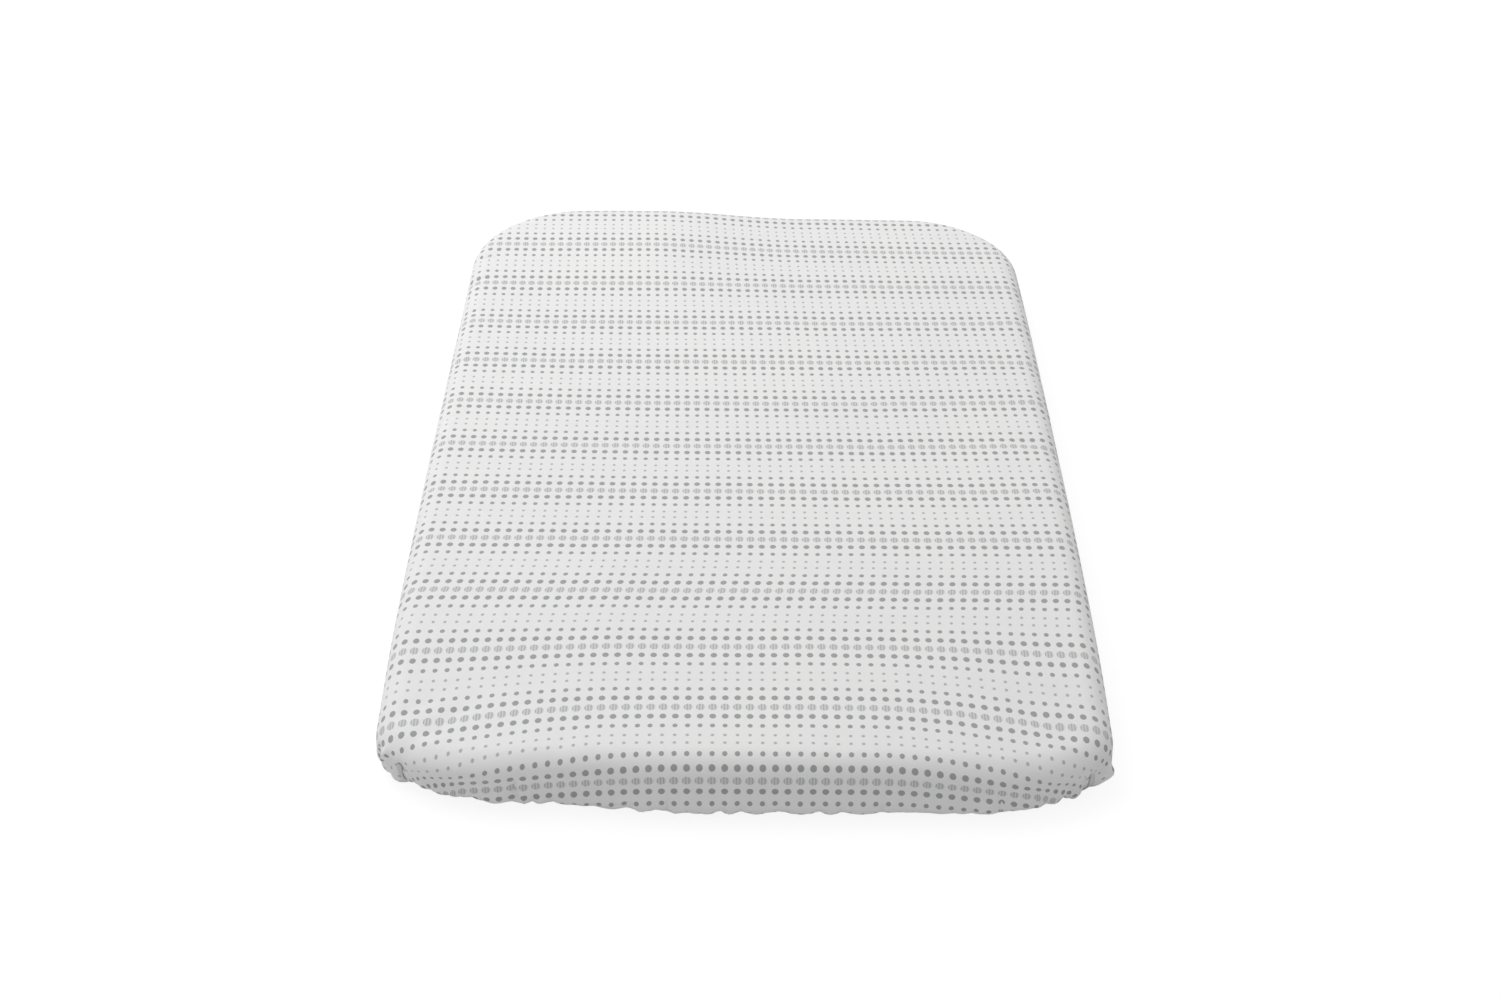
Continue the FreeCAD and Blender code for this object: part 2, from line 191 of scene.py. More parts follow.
def weld(obj):
    """Joins points that lie together and turns every face outwards."""
    import bmesh

    work = bmesh.new()
    work.from_mesh(obj.data)
    bmesh.ops.remove_doubles(work, verts=work.verts, dist=1e-5)
    bmesh.ops.dissolve_degenerate(work, edges=work.edges, dist=1e-6)
    bmesh.ops.recalc_face_normals(work, faces=work.faces)
    work.to_mesh(obj.data)
    work.free()


def foam_block(name, depth, heights, count=300, steps=24):
    """Closed block of foam between the first height and the last."""
    sides = [level_ring(count, depth, h) for h in heights]
    rings = toward_spine(sides[0], steps)[::-1] + sides + toward_spine(sides[-1], steps)
    points = settled(np.concatenate(rings))
    block = mesh_object(name, points, ring_faces(len(rings), count))
    weld(block)
    return block


class Wire:
    """A shader socket that can be used in arithmetic."""

    def __init__(self, tree, socket):
        self.tree, self.socket = tree, socket

    def maths(self, operation, *others):
        return self.tree.node("ShaderNodeMath", {"operation": operation}, (self, *others))

    def __add__(self, other):
        return self.maths("ADD", other)

    __radd__ = __add__

    def __sub__(self, other):
        return self.maths("SUBTRACT", other)

    def __rsub__(self, other):
        return self.tree.node("ShaderNodeMath", {"operation": "SUBTRACT"}, (other, self))

    def __mul__(self, other):
        return self.maths("MULTIPLY", other)

    __rmul__ = __mul__

    def __truediv__(self, other):
        return self.maths("DIVIDE", other)

    def __pow__(self, other):
        return self.maths("POWER", other)


class Finish:
    """A material under construction, with one Principled surface."""

    def __init__(self, name, roughness=0.8, **fixed):
        self.material = bpy.data.materials.new(name)
        self.material.use_nodes = True
        self.nodes = self.material.node_tree.nodes
        self.links = self.material.node_tree.links
        self.surface = self.nodes["Principled BSDF"]
        self.surface.inputs["Roughness"].default_value = roughness
        for socket, value in fixed.items():
            self.surface.inputs[socket.replace("_", " ")].default_value = value

    def put(self, socket, value):
        if isinstance(value, Wire):
            self.links.new(value.socket, socket)
        else:
            socket.default_value = value

    def node(self, kind, settings=None, values=(), output=0):
        """Adds a node: its settings first, then its inputs by place or by name."""
        made = self.nodes.new(kind)
        for key, value in (settings or {}).items():
            if key == "stops":
                ramp = made.color_ramp
                for n, (place, colour) in enumerate(value):
                    stop = ramp.elements[n] if n < 2 else ramp.elements.new(place)
                    stop.position, stop.color = place, (*colour, 1)
            else:
                setattr(made, key, value)
        pairs = values.items() if isinstance(values, dict) else enumerate(values)
        for key, value in pairs:
            self.put(made.inputs[key], value)
        return Wire(self, made.outputs[output])

    def place(self, scale=1.0, source="Object"):
        """Coordinates fixed to the piece, in units of 1/scale metres."""
        where = self.node("ShaderNodeTexCoord", output=source)
        return self.node(
            "ShaderNodeMapping", {}, {"Vector": where, "Scale": (scale, scale, scale)}
        )

    def blend(self, share, first, second):
        """Colour between two colours."""
        return self.node(
            "ShaderNodeMix", {"data_type": "RGBA"}, {0: share, 6: first, 7: second}, output=2
        )

    def bump(self, height, distance, strength=1.0, after=None):
        values = {"Height": height, "Distance": distance, "Strength": strength}
        if after is not None:
            values["Normal"] = after
        return self.node("ShaderNodeBump", {}, values)

    def finish(self, colour=None, roughness=None, normal=None):
        for socket, value in (("Base Color", colour), ("Roughness", roughness), ("Normal", normal)):
            if value is not None:
                self.put(self.surface.inputs[socket], value)
        return self.material


def foam_finish(name, light, dark, cell):
    """Open-cell foam: pores of mixed size and a faint cloudy tone."""
    foam = Finish(name, roughness=0.95)
    pores = foam.node(
        "ShaderNodeTexVoronoi", {"feature": "F1"}, {"Vector": foam.place(), "Scale": 1 / cell}
    )
    cloud = foam.node("ShaderNodeTexNoise", {}, {"Vector": foam.place(), "Scale": 14.0})
    tone = foam.blend(pores * 0.6 + cloud * 0.4, (*dark, 1), (*light, 1))
    return foam.finish(colour=tone, normal=foam.bump(pores, cell * 0.6))


base_low, base_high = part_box("support_foam_base")
top_low, top_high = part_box("memory_foam_layer")
foam_depth = HEIGHT - top_high.z
edge_steps = 1 - np.cos(np.linspace(0, math.pi / 2, 9))
low_heights = base_low.z + BOTTOM_EDGE * edge_steps
high_heights = top_high.z - TOP_EDGE * edge_steps[::-1]

support_foam = foam_block(
    "support_foam", foam_depth, np.concatenate([low_heights, [0.021, base_high.z]])
)
support_foam.data.materials.append(
    foam_finish("support_foam_cells", (0.80, 0.77, 0.62), (0.62, 0.58, 0.44), 0.0012)
)
glue_film = foam_block("foam_glue_film", foam_depth, [base_high.z, top_low.z])
glue_film.data.materials.append(
    foam_finish("spray_glue", (0.84, 0.81, 0.70), (0.74, 0.71, 0.60), 0.003)
)
memory_foam = foam_block(
    "memory_foam", foam_depth, np.concatenate([[top_low.z, 0.0285], high_heights])
)
memory_foam.data.materials.append(
    foam_finish("memory_foam_cells", (0.90, 0.87, 0.77), (0.78, 0.75, 0.64), 0.0008)
)
for piece, node, slot in (
    (support_foam, "support_foam_base", "support_foam"),
    (glue_film, "foam_glue_layer", "foam_glue"),
    (memory_foam, "memory_foam_layer", "memory_foam"),
):
    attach(piece, "mattress")
    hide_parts(node)


# ---- Zipped cover ----
# A knitted top and border and a woven ticking underside in two parts, joined by bound seams.
# It is cut close to the foam, so it follows the block's shape.

COVER_DEPTH = 0.0016
COVER_WALL = 0.0011


def skin_rings(count, depth, top_steps, wall_steps, under_steps, reach):
    """Rings of a layer from the top's edge to its turned-under hem, and their cloth distance."""
    plan, facing, _ = outline(count)
    top, bottom = edge_radii(plan, depth)
    inner = plan - facing * (depth + top)[:, None]
    inset, height, run = [], [], []
    for turn in np.linspace(0, math.pi / 2, top_steps + 1):
        inset.append(depth + top * (1 - math.sin(turn)))
        height.append(HEIGHT - depth - top * (1 - math.cos(turn)))
        run.append(top * turn)
    wall = HEIGHT - SKIRT_HEIGHT - 2 * depth - top - bottom
    for share in np.linspace(0, 1, wall_steps + 1)[1:]:
        inset.append(np.full(count, depth))
        height.append(HEIGHT - depth - top - wall * share)
        run.append(top * math.pi / 2 + wall * share)
    for turn in np.linspace(0, math.pi / 2, wall_steps + 1)[1:]:
        inset.append(depth + bottom * (1 - math.cos(turn)))
        height.append(SKIRT_HEIGHT + depth + bottom * (1 - math.sin(turn)))
        run.append(top * math.pi / 2 + wall + bottom * turn)
    for share in np.linspace(0, 1, under_steps + 1)[1:]:
        inset.append(depth + bottom + (reach - depth - bottom) * share)
        height.append(np.full(count, SKIRT_HEIGHT + depth))
        run.append(top * math.pi / 2 + wall + bottom * math.pi / 2
                   + (reach - depth - bottom) * share)
    rings = [
        np.column_stack([plan - facing * i[:, None], h]) for i, h in zip(inset, height)
    ]
    hem_plan = outline(count, HEM_RADII)[0]
    for n in range(under_steps):
        share = (n + 1) / under_steps
        rings[n - under_steps][:, :2] += (hem_plan - plan) * share
    cloth = [inner + facing * r[:, None] for r in run]
    return np.array(rings), np.array(cloth), np.array(run)


def thicken(obj, wall):
    """Gives cloth its thickness, inwards."""
    solid = obj.modifiers.new("thickness", "SOLIDIFY")
    solid.thickness, solid.offset = wall, -1
    solid.use_even_offset = False
    bpy.context.view_layer.update()
    evaluated = obj.evaluated_get(bpy.context.evaluated_depsgraph_get())
    mesh = bpy.data.meshes.new_from_object(evaluated)
    mesh.name = obj.name
    obj.modifiers.clear()
    obj.data = mesh
    return obj


def cloth_finish(name, light, dark, pitch, tilt=0.0, roughness=0.9, relief=0.4):
    """Plain cloth: crossing threads at the weave's pitch, with uneven yarn."""
    cloth = Finish(name, roughness=roughness)
    base = cloth.node("ShaderNodeTexCoord", output="Object")
    turned = cloth.node(
        "ShaderNodeMapping", {}, {"Vector": base, "Rotation": (0, 0, math.radians(tilt))}
    )
    parts = cloth.nodes.new("ShaderNodeSeparateXYZ")
    cloth.links.new(turned.socket, parts.inputs[0])
    across, along = Wire(cloth, parts.outputs[0]), Wire(cloth, parts.outputs[1])
    warp = (across * (math.tau / pitch)).maths("SINE")
    weft = (along * (math.tau / pitch)).maths("SINE")
    weave = warp * weft * 0.5 + 0.5
    slub = cloth.node("ShaderNodeTexNoise", {}, {"Vector": base, "Scale": 55.0, "Detail": 3.0})
    tone = cloth.blend(weave * 0.35 + slub * 0.65, (*dark, 1), (*light, 1))
    return cloth.finish(colour=tone, normal=cloth.bump(weave + slub, pitch * relief))


cover_rings, _, _ = skin_rings(300, COVER_DEPTH, 8, 3, 0, BOTTOM_EDGE)
cover_upper_rings = cover_rings[:12]
crown_rings = toward_spine(cover_upper_rings[0], 26)[::-1]
cover_upper = mesh_object(
    "cover_top_and_border",
    settled(np.concatenate([np.concatenate(crown_rings), np.concatenate(cover_upper_rings)])),
    ring_faces(len(crown_rings) + len(cover_upper_rings), 300),
)
weld(cover_upper)
thicken(cover_upper, COVER_WALL)
cover_upper.data.materials.append(
    cloth_finish("cover_knit", (0.88, 0.88, 0.87), (0.80, 0.80, 0.79), 0.0011, tilt=45)
)
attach(cover_upper, "mattress")
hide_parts("cover_top_panel", "cover_border")
binding_finish = cloth_finish(
    "seam_binding", (0.90, 0.90, 0.89), (0.78, 0.78, 0.77), 0.0009, tilt=20
)
for edge, first in (("top", 7), ("bottom", 10)):
    tape_rings, _, _ = skin_rings(300, COVER_DEPTH - 0.0005, 8, 3, 0, BOTTOM_EDGE)
    band = tape_rings[first:first + 3]
    tape = mesh_object(
        f"cover_{edge}_seam_binding", settled(np.concatenate(band)), ring_faces(len(band), 300)
    )
    thicken(tape, 0.0004)
    tape.data.materials.append(binding_finish)
    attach(tape, "mattress")
    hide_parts(f"cover_{edge}_binding")


# ---- Cover underside ----
# Woven ticking in two parts, one on each side of the zip. Their edges are turned and stitched
# along the zip's window, and the cloth puckers a little beside it.

tape_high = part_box("zip_tape_foot")[1]
ZIP_LINE = tape_high.y + 0.001
PANEL_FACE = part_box("cover_bottom_panel_foot")[0].z
WINDOW_HALF = 0.006
WINDOW_END = 0.164
PANEL_INSET = 0.013


def half_width_at(y):
    """Half the cover's width at each distance along it."""
    reach = np.full(len(y), HALF_WIDTH - PANEL_INSET)
    radius = CORNER_RADII[1, 1] - PANEL_INSET
    over = np.clip(np.abs(y) - (HALF_LENGTH - PANEL_INSET - radius), 0, radius)
    return reach - radius + np.sqrt(radius**2 - over**2)


ticking = cloth_finish(
    "ticking", (0.84, 0.84, 0.83), (0.72, 0.72, 0.71), 0.0013, roughness=0.85, relief=0.5
)
for end, side in (("foot", -1), ("head", 1)):
    far = side * (HALF_LENGTH - PANEL_INSET - 0.0005)
    lines = np.concatenate([
        ZIP_LINE + side * np.array([0.0, WINDOW_HALF - 0.0004, WINDOW_HALF, 0.0085]),
        np.linspace(ZIP_LINE + side * 0.012, far, 24 if side < 0 else 90),
    ])
    stations = np.concatenate([
        np.linspace(-1, -0.72, 24), np.linspace(-0.70, 0.70, 161), np.linspace(0.72, 1, 24)
    ])
    columns = len(stations)
    reach = half_width_at(lines)
    x = stations[None, :] * reach[:, None]
    y = np.repeat(lines[:, None], columns, 1)
    from_zip = np.abs(y - ZIP_LINE)
    pucker = np.sin(x * math.tau / 0.011 + 1.7 * np.sin(x * 60)) * np.exp(-from_zip / 0.010)
    sag = np.array([
        [noise.noise((9 * px, 9 * py, 3.1 * side)) for px, py in zip(row_x, row_y)]
        for row_x, row_y in zip(x, y)
    ])
    z = PANEL_FACE + 0.00012 * pucker * (from_zip > WINDOW_HALF) + 0.00012 * sag
    y += foot_setback(x, y, z)
    points = np.stack([x, y, z], -1).reshape(-1, 3)
    faces = []
    for r in range(len(lines) - 1):
        for k in range(columns - 1):
            inside = r < 2 and abs(x[r + 1, k] + x[r + 1, k + 1]) / 2 < WINDOW_END
            if not inside:
                a = r * columns + k
                faces.append((a, a + 1, a + columns + 1, a + columns))
    panel = mesh_object(f"cover_underside_{end}", points, faces)
    weld(panel)
    if panel.data.polygons[0].normal.z > 0:
        panel.data.flip_normals()
    thicken(panel, 0.0006)
    panel.data.materials.append(ticking)
    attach(panel, "mattress")
    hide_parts(f"cover_bottom_panel_{end}")


# ---- Zip ----
# A coil zip on woven tapes, sewn behind the ticking. Its slider and pull tab are enamelled
# metal; the coils and the stops are moulded in nylon.

tape_finish = cloth_finish(
    "zip_tape_weave", (0.88, 0.88, 0.87), (0.70, 0.70, 0.69), 0.0008, relief=0.5
)
nylon = Finish("nylon_coil", roughness=0.42)
nylon_cloud = nylon.node("ShaderNodeTexNoise", {}, {"Vector": nylon.place(), "Scale": 300.0})
nylon.finish(
    colour=nylon.blend(nylon_cloud, (0.80, 0.80, 0.79, 1), (0.90, 0.90, 0.89, 1)),
    roughness=nylon_cloud * 0.2 + 0.32,
    normal=nylon.bump(nylon_cloud, 0.0001),
)
enamel = Finish("zip_enamel", roughness=0.3, Coat_Weight=0.3)
enamel_wear = enamel.node(
    "ShaderNodeTexNoise", {}, {"Vector": enamel.place(), "Scale": 420.0, "Detail": 4.0}
)
enamel.finish(
    colour=enamel.blend(enamel_wear, (0.78, 0.78, 0.77, 1), (0.88, 0.88, 0.87, 1)),
    roughness=enamel_wear * 0.25 + 0.2,
    normal=enamel.bump(enamel_wear, 0.00005),
)
for node, material in (
    ("zip_tape_foot", tape_finish),
    ("zip_tape_head", tape_finish),
    ("zip_chain_foot", nylon.material),
    ("zip_chain_head", nylon.material),
    ("zip_top_stop_foot", nylon.material),
    ("zip_top_stop_head", nylon.material),
    ("zip_bottom_stop", nylon.material),
    ("zip_slider_body", enamel.material),
    ("zip_pull_tab", enamel.material),
):
    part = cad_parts[node]
    for n in range(len(part.material_slots)):
        part.material_slots[n].material = material


# ---- Zip seam stitching ----
# Two rows of lockstitch hold the ticking's turned edges to the zip's tapes.

thread = Finish("sewing_thread", roughness=0.7)
thread_twist = thread.node(
    "ShaderNodeTexWave", {"wave_type": "BANDS", "bands_direction": "DIAGONAL"},
    {"Vector": thread.place(), "Scale": 900.0},
)
thread.finish(
    colour=thread.blend(thread_twist, (0.80, 0.80, 0.79, 1), (0.90, 0.90, 0.89, 1)),
    normal=thread.bump(thread_twist, 0.00008),
)


def stitch_row(name, path, closed, pitch, width):
    """Stitches laid end to end along a path, as one plain mesh."""
    mesh = bpy.data.meshes.new(name)
    edges = [(n, n + 1) for n in range(len(path) - 1)] + ([(len(path) - 1, 0)] if closed else [])
    mesh.from_pydata([tuple(p) for p in path], edges, [])
    row = bpy.data.objects.new(name, mesh)
    bpy.context.scene.collection.objects.link(row)
    group = bpy.data.node_groups.new(name, "GeometryNodeTree")
    sockets = {}
    for label, way, kind in (
        ("Path", "INPUT", "NodeSocketGeometry"),
        ("Pitch", "INPUT", "NodeSocketFloat"),
        ("Width", "INPUT", "NodeSocketFloat"),
        ("Stitches", "OUTPUT", "NodeSocketGeometry"),
    ):
        sockets[label] = group.interface.new_socket(label, in_out=way, socket_type=kind)

    def step(kind, settings, **wires):
        made = group.nodes.new(kind)
        for key, value in settings.items():
            setattr(made, key, value)
        for key, value in wires.items():
            socket = made.inputs[key.replace("_", " ")]
            if isinstance(value, bpy.types.NodeSocket):
                group.links.new(value, socket)
            else:
                socket.default_value = value
        return made

    given = group.nodes.new("NodeGroupInput").outputs
    line = step("GeometryNodeMeshToCurve", {}, Mesh=given["Path"])
    spots = step(
        "GeometryNodeResampleCurve", {"mode": "LENGTH"}, Curve=line.outputs[0], Length=given["Pitch"]
    )
    way = step(
        "FunctionNodeAlignRotationToVector", {"axis": "X"},
        Vector=group.nodes.new("GeometryNodeInputTangent").outputs[0],
    )
    bead = step("GeometryNodeMeshUVSphere", {}, Segments=8, Rings=5, Radius=1.0)
    reach = step("ShaderNodeMath", {"operation": "MULTIPLY"})
    group.links.new(given["Pitch"], reach.inputs[0])
    reach.inputs[1].default_value = 0.42
    size = step("ShaderNodeCombineXYZ", {}, X=reach.outputs[0], Y=given["Width"], Z=given["Width"])
    laid = step(
        "GeometryNodeInstanceOnPoints", {}, Points=spots.outputs[0], Instance=bead.outputs[0],
        Rotation=way.outputs[0], Scale=size.outputs[0],
    )
    real = step("GeometryNodeRealizeInstances", {}, Geometry=laid.outputs[0])
    dressed = step(
        "GeometryNodeSetMaterial", {}, Geometry=real.outputs[0], Material=thread.material
    )
    group.links.new(dressed.outputs[0], group.nodes.new("NodeGroupOutput").inputs[0])
    modifier = row.modifiers.new("stitches", "NODES")
    modifier.node_group = group
    modifier[sockets["Pitch"].identifier] = pitch
    modifier[sockets["Width"].identifier] = width
    bpy.context.view_layer.update()
    evaluated = row.evaluated_get(bpy.context.evaluated_depsgraph_get())
    finished = bpy.data.meshes.new_from_object(evaluated)
    finished.name = name
    row.modifiers.clear()
    row.data = finished
    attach(row, "mattress")
    return row


for end, side in (("foot", -1), ("head", 1)):
    seam_line = [
        (x, ZIP_LINE + side * 0.0085, PANEL_FACE) for x in np.linspace(-WINDOW_END, WINDOW_END, 60)
    ]
    stitch_row(f"zip_stitches_{end}", seam_line, False, 0.0028, 0.00025)


# ---- Fitted sheet ----
# One piece of printed cotton pulled over the mattress. Its elastic hem draws it in underneath,
# so it lies smooth on top and gathers round the lower edge and the corners.

SHEET_WALL = 0.0005
UNDER_REACH = 0.063
SEAM_CREASE = 0.0007

sheet_rings, sheet_cloth, sheet_run = skin_rings(ROUND_SIDES, 0.0, 10, 6, 12, UNDER_REACH)
plan, facing, along = outline(ROUND_SIDES)
round_corner = np.abs(facing[:, 0] * facing[:, 1]) * 2


def rib(phase):
    """A row of rounded pleats with narrow valleys."""
    return 2 * np.abs(np.sin(phase / 2)) - 1


def drift(at, size, seed):
    """Slow uneven wander round the outline."""
    return np.array([noise.noise((p[0] / size, p[1] / size, seed)) for p in at])


def surface_normals(rings):
    """Outward direction at each point of a set of rings."""
    round_way = np.roll(rings, -1, 1) - np.roll(rings, 1, 1)
    down_way = np.gradient(rings, axis=0)
    normals = np.cross(down_way, round_way)
    normals /= np.maximum(np.linalg.norm(normals, axis=2), 1e-9)[..., None]
    return normals


wide = math.tau * (along / 0.026 + 1.6 * drift(plan, 0.05, 1.0))
fine = math.tau * (along / 0.0115 + 1.3 * drift(plan, 0.03, 7.0))
low_on_side = smooth(sheet_run, 0.034, 0.056)
under = smooth(sheet_run, 0.040, 0.070)
ease = np.clip(0.75 + 0.5 * round_corner + 0.9 * drift(plan, 0.09, 4.0), 0.15, 1.6)
near_hem = smooth(sheet_run, 0.080, 0.105)
pleats = low_on_side * ease * (0.0013 * rib(wide) + (0.0008 * under + 0.0007 * near_hem) * rib(fine))
creases = np.zeros_like(pleats)
for (side, end), radius in CORNER_RADII.items():
    tip = np.array([side, end]) * (
        np.array([HALF_WIDTH, HALF_LENGTH]) - radius * (1 - math.sqrt(0.5))
    )
    near = np.exp(-(np.linalg.norm(plan - tip, axis=1) / 0.0016) ** 2)
    creases -= SEAM_CREASE * near * smooth(sheet_run, 0.026, 0.040)
    gather = np.exp(-(np.linalg.norm(plan - tip, axis=1) / 0.030) ** 2)
    creases += 0.0009 * gather * rib(math.tau * along / 0.013) * smooth(sheet_run, 0.034, 0.060)
# Tucks where the elastic has caught the cloth at the foot corners, and creases down the foot's
# face: place along the outline, place down the cloth, length round, length down and height.
for px, py, down, round_size, down_size, height in (
    (0.236, -0.366, 0.044, 0.0060, 0.0075, 0.0062),
    (0.222, -0.378, 0.050, 0.0035, 0.0120, -0.0030),
    (-0.236, -0.366, 0.036, 0.0035, 0.0110, 0.0040),
    (-0.240, -0.356, 0.038, 0.0028, 0.0110, -0.0028),
    (-0.226, -0.378, 0.042, 0.0026, 0.0130, -0.0026),
    (-0.152, -0.398, 0.040, 0.0022, 0.0110, -0.0020),
    (-0.146, -0.398, 0.042, 0.0026, 0.0090, 0.0012),
    (-0.050, -0.398, 0.046, 0.0020, 0.0075, -0.0018),
    (-0.045, -0.398, 0.048, 0.0022, 0.0065, 0.0010),
    (0.092, -0.398, 0.048, 0.0024, 0.0070, -0.0013),
    (0.170, -0.396, 0.046, 0.0030, 0.0090, -0.0014),
):
    place = np.argmin(np.hypot(plan[:, 0] - px, plan[:, 1] - py))
    apart = np.abs(along - along[place])
    apart = np.minimum(apart, along[-1] + along[1] - apart)
    creases += height * np.exp(-(apart / round_size) ** 2 - ((sheet_run - down) / down_size) ** 2)
sheet_rings = settled(sheet_rings)
sheet_rings += surface_normals(sheet_rings) * (pleats + creases)[..., None]
sheet_rings[..., 2] = np.maximum(sheet_rings[..., 2], 0.0006)

INNER_SIDES = ROUND_SIDES // 3
INNER_STEPS = 32
first_ring = skin_rings(ROUND_SIDES, 0.0, 10, 6, 12, UNDER_REACH)[0][0]
inner_rings = toward_spine(first_ring[::3], INNER_STEPS)
inner_cloth = [ring[:, :2] for ring in inner_rings]
inner_points = settled(np.concatenate(inner_rings))

points = np.concatenate([sheet_rings.reshape(-1, 3), inner_points])
cloth = np.concatenate([sheet_cloth.reshape(-1, 2), np.concatenate(inner_cloth)])
outer_total = len(sheet_rings) * ROUND_SIDES
faces = [tuple(reversed(f)) for f in ring_faces(len(sheet_rings), ROUND_SIDES)]
for k in range(INNER_SIDES):
    a, b = outer_total + k, outer_total + (k + 1) % INNER_SIDES
    edge = [(3 * k + n) % ROUND_SIDES for n in range(4)]
    faces.append((a, *edge, b))
faces += ring_faces(INNER_STEPS, INNER_SIDES, outer_total)

# Pulled creases across the sheet's edges: centre, direction, half length, half width and depth.
for cx, cy, angle, length, width, depth in (
    (-0.236, 0.300, 20, 0.016, 0.0035, -0.0022),
    (-0.240, 0.262, 8, 0.014, 0.0030, -0.0018),
    (-0.241, 0.205, 12, 0.022, 0.0040, -0.0012),
    (-0.240, 0.120, -8, 0.024, 0.0045, -0.0010),
    (-0.242, 0.030, 10, 0.022, 0.0040, -0.0010),
    (-0.240, -0.070, 6, 0.020, 0.0040, -0.0009),
    (0.232, 0.190, -14, 0.026, 0.0050, 0.0012),
    (0.234, 0.120, -22, 0.026, 0.0055, -0.0013),
    (0.233, 0.060, -16, 0.028, 0.0050, 0.0012),
    (0.236, -0.010, -24, 0.026, 0.0055, -0.0013),
    (0.232, -0.075, -12, 0.026, 0.0050, 0.0011),
    (-0.205, -0.352, 52, 0.030, 0.0060, -0.0016),
    (-0.222, -0.330, 40, 0.028, 0.0050, -0.0012),
    (0.208, -0.352, -50, 0.028, 0.0055, -0.0015),
    (0.222, -0.322, -38, 0.028, 0.0050, -0.0012),
    (-0.120, -0.376, 78, 0.022, 0.0060, -0.0008),
    (0.060, -0.378, 96, 0.020, 0.0070, -0.0007),
):
    turn = math.radians(angle)
    dx, dy = cloth[:, 0] - cx, cloth[:, 1] - cy
    run = dx * math.cos(turn) + dy * math.sin(turn)
    off = -dx * math.sin(turn) + dy * math.cos(turn)
    crease = depth * np.exp(-(run / length) ** 2 - (off / width) ** 2)
    points[:, 2] += crease * (points[:, 2] > 0.02)
slack = np.array([noise.fractal((11 * p[0], 7 * p[1], 2.2), 0.7, 2.0, 3) for p in cloth])
points[:, 2] += 0.00045 * slack * (points[:, 2] > 0.03)

fitted_sheet = mesh_object("fitted_sheet_cloth", points, faces)

# The print runs with the cloth: columns across and bands along, drawn a little askew where the
# sheet was pulled on.
COLUMN = 0.0081
BAND = 0.066
BAND_START = -0.3393
u, v = cloth[:, 0], cloth[:, 1]
askew = 0.0035 + 0.009 * smooth(v, -0.27, -0.15) - 0.0135 * (np.clip(v + 0.12, 0, 1) / 0.44) ** 1.5
stretch = 0.00803 + 0.00032 * smooth(-v, -0.10, 0.34)
columns_across = (u - askew) / stretch
pulled = smooth(-v, 0.20, 0.41) * np.where(
    u > 0, 0.012 * smooth(u, 0.09, 0.24), 0.009 * smooth(-u, 0.08, 0.24)
)
along_cloth = v + pulled + foot_setback(u, v, 0.046 - 0.034 * smooth(-v, 0.37, 0.43))
bands_along = (along_cloth - BAND_START) / BAND
uv = fitted_sheet.data.uv_layers.new(name="print")
corner_vertex = np.zeros(len(fitted_sheet.data.loops), int)
fitted_sheet.data.loops.foreach_get("vertex_index", corner_vertex)
uv.data.foreach_set(
    "uv", np.column_stack([columns_across, bands_along])[corner_vertex].astype(np.float32).ravel()
)
weld(fitted_sheet)
thicken(fitted_sheet, SHEET_WALL)

cotton = Finish("printed_cotton", roughness=0.88, Sheen_Weight=0.15, Sheen_Roughness=0.6)
print_place = cotton.node("ShaderNodeUVMap", {"uv_map": "print"})
parts = cotton.nodes.new("ShaderNodeSeparateXYZ")
cotton.links.new(print_place.socket, parts.inputs[0])
column, band = Wire(cotton, parts.outputs[0]), Wire(cotton, parts.outputs[1])
off_column = (column - column.maths("ROUND")) * COLUMN
off_band = band - band.maths("ROUND")
ROW = 0.147
row = (off_band / ROW).maths("ROUND").maths("MINIMUM", 3.0).maths("MAXIMUM", -3.0)
off_row = (off_band - row * ROW) * BAND
size_step = row.maths("ABSOLUTE")
dot_radius = (
    0.00340
    - 0.00090 * size_step.maths("MINIMUM", 1.0)
    - 0.00060 * (size_step - 1.0).maths("MINIMUM", 1.0).maths("MAXIMUM", 0.0)
    - 0.00060 * (size_step - 2.0).maths("MINIMUM", 1.0).maths("MAXIMUM", 0.0)
)
distance = (off_column * off_column * 1.30 + off_row * off_row) ** 0.5
ragged = cotton.node(
    "ShaderNodeTexNoise", {}, {"Vector": cotton.place(), "Scale": 1400.0, "Detail": 1.0}
)
edge = cotton.node(
    "ShaderNodeMapRange", {"interpolation_type": "SMOOTHSTEP"},
    {"Value": distance - dot_radius + (ragged - 0.5) * 0.0005,
     "From Min": 0.00022, "From Max": -0.00022, "To Min": 0.0, "To Max": 1.0},
)
hatch = (column * (math.tau * 4.0)).maths("SINE") * 0.5 + 0.5
big = 1.0 - size_step.maths("MINIMUM", 1.0)
tiny = (size_step - 2.0).maths("MAXIMUM", 0.0)
ink = edge * (0.88 - big * (0.18 + 0.40 * hatch) - 0.22 * tiny)
thread_u = (column * (math.tau * 26)).maths("SINE")
thread_v = (band * (math.tau * 212)).maths("SINE")
weave = thread_u * thread_v * 0.5 + 0.5
slub = cotton.node(
    "ShaderNodeTexNoise", {}, {"Vector": cotton.place(), "Scale": 9.0, "Detail": 4.0}
)
ground = cotton.blend(slub, (0.845, 0.835, 0.845, 1), (0.885, 0.880, 0.872, 1))
shade = cotton.blend(ink, ground, (0.265, 0.285, 0.280, 1))
cotton.finish(
    colour=cotton.blend(weave * 0.05, shade, (0.78, 0.78, 0.78, 1)),
    normal=cotton.bump(weave, 0.00008, after=cotton.bump(slub, 0.0006)),
)
fitted_sheet.data.materials.append(cotton.material)
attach(fitted_sheet, "mattress")
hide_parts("fitted_sheet")


# ---- Corner seams ----
# Each corner is darted, and the seam allowance lies flat between the sheet and the cover.

